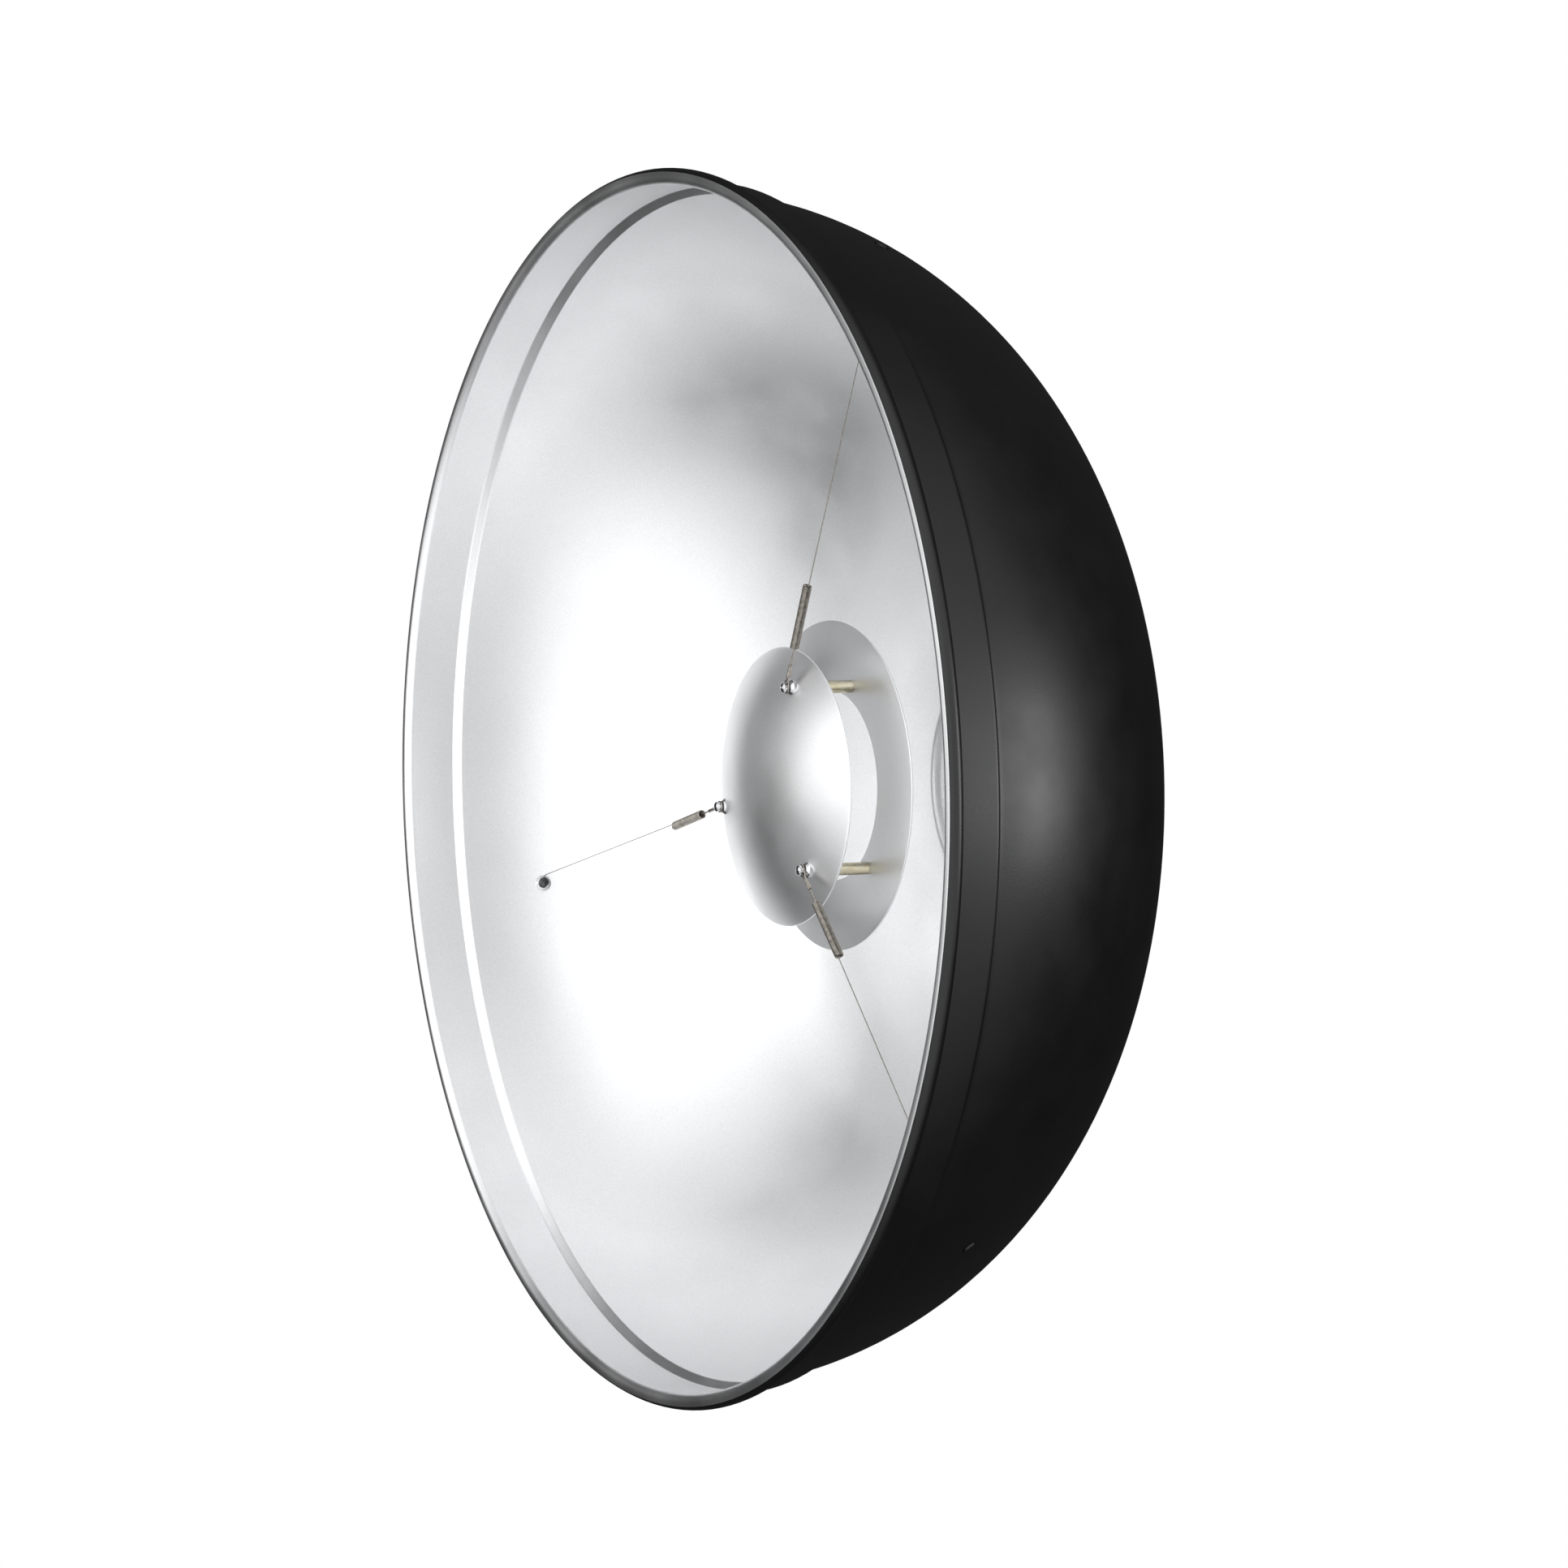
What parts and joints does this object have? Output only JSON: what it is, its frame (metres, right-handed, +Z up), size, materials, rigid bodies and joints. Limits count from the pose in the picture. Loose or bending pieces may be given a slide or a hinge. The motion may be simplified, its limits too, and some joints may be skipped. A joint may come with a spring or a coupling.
{
  "type": "beauty dish reflector",
  "caption": "Round spun reflector dish for a studio flash, with a domed centre deflector and ring plate floating on sprung wires, and a bayonet mount ring behind.",
  "frame": {"origin": "on the dish's axis, at the rear seat of the mount ring's flange, where the dish meets the flash head", "axes": "+Y along the dish's axis, back towards the flash head; the dish opens towards -Y; +Z up"},
  "size_m": [0.5498, 0.1916, 0.5498],
  "materials": {
    "satin_silver": "satin, finely etched, on the inside of the dish and on the deflector",
    "satin_black": "satin black powder coat, also on the outside of the dish",
    "cast_aluminium": "satin machined",
    "chrome": "bright",
    "nickelled_brass": "bright turned",
    "spring_steel": "drawn wire"
  },
  "bodies": {
    "dish": {"dish_shell": "satin_silver", "mount_ring": "cast_aluminium", "mount_screw_1": "chrome", "mount_screw_2": "chrome", "mount_screw_3": "chrome", "anchor_washer_1": "chrome", "anchor_washer_2": "chrome", "anchor_washer_3": "chrome", "anchor_screw_1": "chrome", "anchor_screw_2": "chrome", "anchor_screw_3": "chrome", "anchor_nut_1": "satin_black", "anchor_nut_2": "satin_black", "anchor_nut_3": "satin_black"},
    "deflector": {"deflector_dome": "satin_silver", "deflector_ring": "satin_silver", "standoff_1": "nickelled_brass", "standoff_2": "nickelled_brass", "standoff_3": "nickelled_brass", "dome_washer_1": "chrome", "dome_washer_2": "chrome", "dome_washer_3": "chrome", "dome_screw_1": "chrome", "dome_screw_2": "chrome", "dome_screw_3": "chrome", "ring_screw_1": "chrome", "ring_screw_2": "chrome", "ring_screw_3": "chrome"},
    "suspension_1": {"wire_1": "spring_steel", "spring_1": "spring_steel", "link_1": "spring_steel", "crimp_1": "spring_steel"},
    "suspension_2": {"wire_2": "spring_steel", "spring_2": "spring_steel", "link_2": "spring_steel", "crimp_2": "spring_steel"},
    "suspension_3": {"wire_3": "spring_steel", "spring_3": "spring_steel", "link_3": "spring_steel", "crimp_3": "spring_steel"}
  },
  "joints": [
    {"name": "deflector_float", "type": "slide", "parent": "dish", "child": "deflector", "axis": [0, 1, 0], "range_m": [-0.012, 0.012], "stiffness_N_per_m": 75},
    {"name": "suspension_swing_1", "type": "hinge", "parent": "dish", "child": "suspension_1", "pos_m": [0.09479, -0.11566, 0.23462], "axis": [0.9272, 0, -0.3746], "range_deg": [-3.45, 3.45]},
    {"name": "suspension_swing_2", "type": "hinge", "parent": "dish", "child": "suspension_2", "pos_m": [-0.24651, -0.11566, -0.05714], "axis": [-0.2258, 0, 0.9742], "range_deg": [-3.45, 3.45]},
    {"name": "suspension_swing_3", "type": "hinge", "parent": "dish", "child": "suspension_3", "pos_m": [0.17258, -0.11566, -0.18506], "axis": [-0.7314, 0, -0.682], "range_deg": [-3.45, 3.45]}
  ],
  "couplings": [
    {"joint": "suspension_swing_1", "follows": "deflector_float", "rad_per_m": 4.8937},
    {"joint": "suspension_swing_2", "follows": "deflector_float", "rad_per_m": 4.8937},
    {"joint": "suspension_swing_3", "follows": "deflector_float", "rad_per_m": 4.8937}
  ]
}
